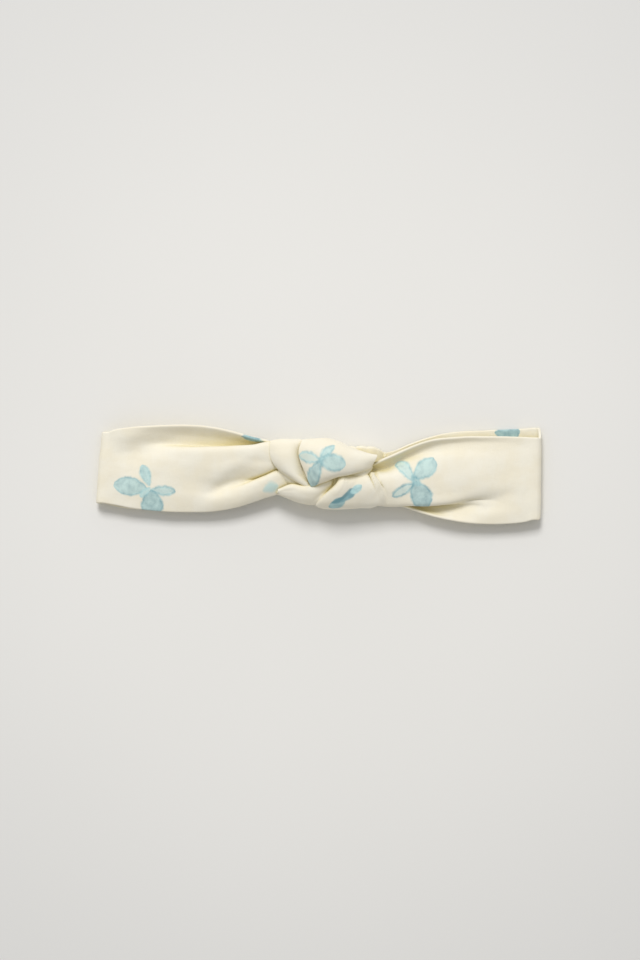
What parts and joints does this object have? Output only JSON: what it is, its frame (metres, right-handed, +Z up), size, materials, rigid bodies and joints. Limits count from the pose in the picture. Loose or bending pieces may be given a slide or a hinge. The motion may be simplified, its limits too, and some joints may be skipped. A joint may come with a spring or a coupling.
{
  "type": "knotted headband",
  "caption": "Soft fabric headband with a tied knot at the front and a gathered elastic section at the back, lying flat.",
  "frame": {"origin": "on the resting surface, under the middle of the headband's box", "axes": "+X along the flattened band, +Y across the band, +Z up through the knot"},
  "size_m": [0.2098, 0.0459, 0.0213],
  "materials": {
    "printed_cotton": "matte cream cotton with scattered pale blue watercolour butterflies",
    "elastic_web": "white woven elastic",
    "sewing_thread": "cream polyester thread"
  },
  "bodies": {
    "casing": {"elastic_casing": "printed_cotton", "elastic_tape": "elastic_web", "elastic_tack_left": "sewing_thread", "elastic_tack_right": "sewing_thread", "join_seam_left": "printed_cotton", "join_seam_right": "printed_cotton"},
    "back_left": {"back_band_left": "printed_cotton", "join_stitches_left": "sewing_thread", "tube_seam_back_left": "sewing_thread"},
    "front_left": {"front_band_left": "printed_cotton", "tube_seam_front_left": "sewing_thread"},
    "knot": {"knot_left_tail": "printed_cotton", "knot_right_tail": "printed_cotton", "knot_core": "printed_cotton", "knot_left_wrap": "printed_cotton", "knot_centre_wrap": "printed_cotton", "knot_lower_pass": "printed_cotton", "knot_back_pass": "printed_cotton"},
    "front_right": {"front_band_right": "printed_cotton", "tube_seam_front_right": "sewing_thread"},
    "back_right": {"back_band_right": "printed_cotton", "join_stitches_right": "sewing_thread", "tube_seam_back_right": "sewing_thread"}
  },
  "joints": [
    {"name": "back_left_hinge", "type": "hinge", "parent": "casing", "child": "back_left", "pos_m": [-0.031, 0, 0.0012], "axis": [0, 1, 0], "range_deg": [0, 60]},
    {"name": "left_fold", "type": "hinge", "parent": "back_left", "child": "front_left", "pos_m": [-0.105, 0, 0.0037], "axis": [0, 1, 0], "range_deg": [-120, 0]},
    {"name": "knot_left_bend", "type": "hinge", "parent": "front_left", "child": "knot", "pos_m": [-0.031, 0, 0.0062], "axis": [0, 1, 0], "range_deg": [0, 60]},
    {"name": "knot_right_bend", "type": "hinge", "parent": "knot", "child": "front_right", "pos_m": [0.031, 0, 0.0062], "axis": [0, 1, 0], "range_deg": [0, 60]},
    {"name": "right_fold", "type": "hinge", "parent": "front_right", "child": "back_right", "pos_m": [0.105, 0, 0.0037], "axis": [0, 1, 0], "range_deg": [-120, 0]}
  ],
  "couplings": [
    {"joint": "left_fold", "follows": "back_left_hinge", "ratio": -2},
    {"joint": "knot_left_bend", "follows": "back_left_hinge", "ratio": 1},
    {"joint": "knot_right_bend", "follows": "back_left_hinge", "ratio": 1},
    {"joint": "right_fold", "follows": "back_left_hinge", "ratio": -2}
  ]
}
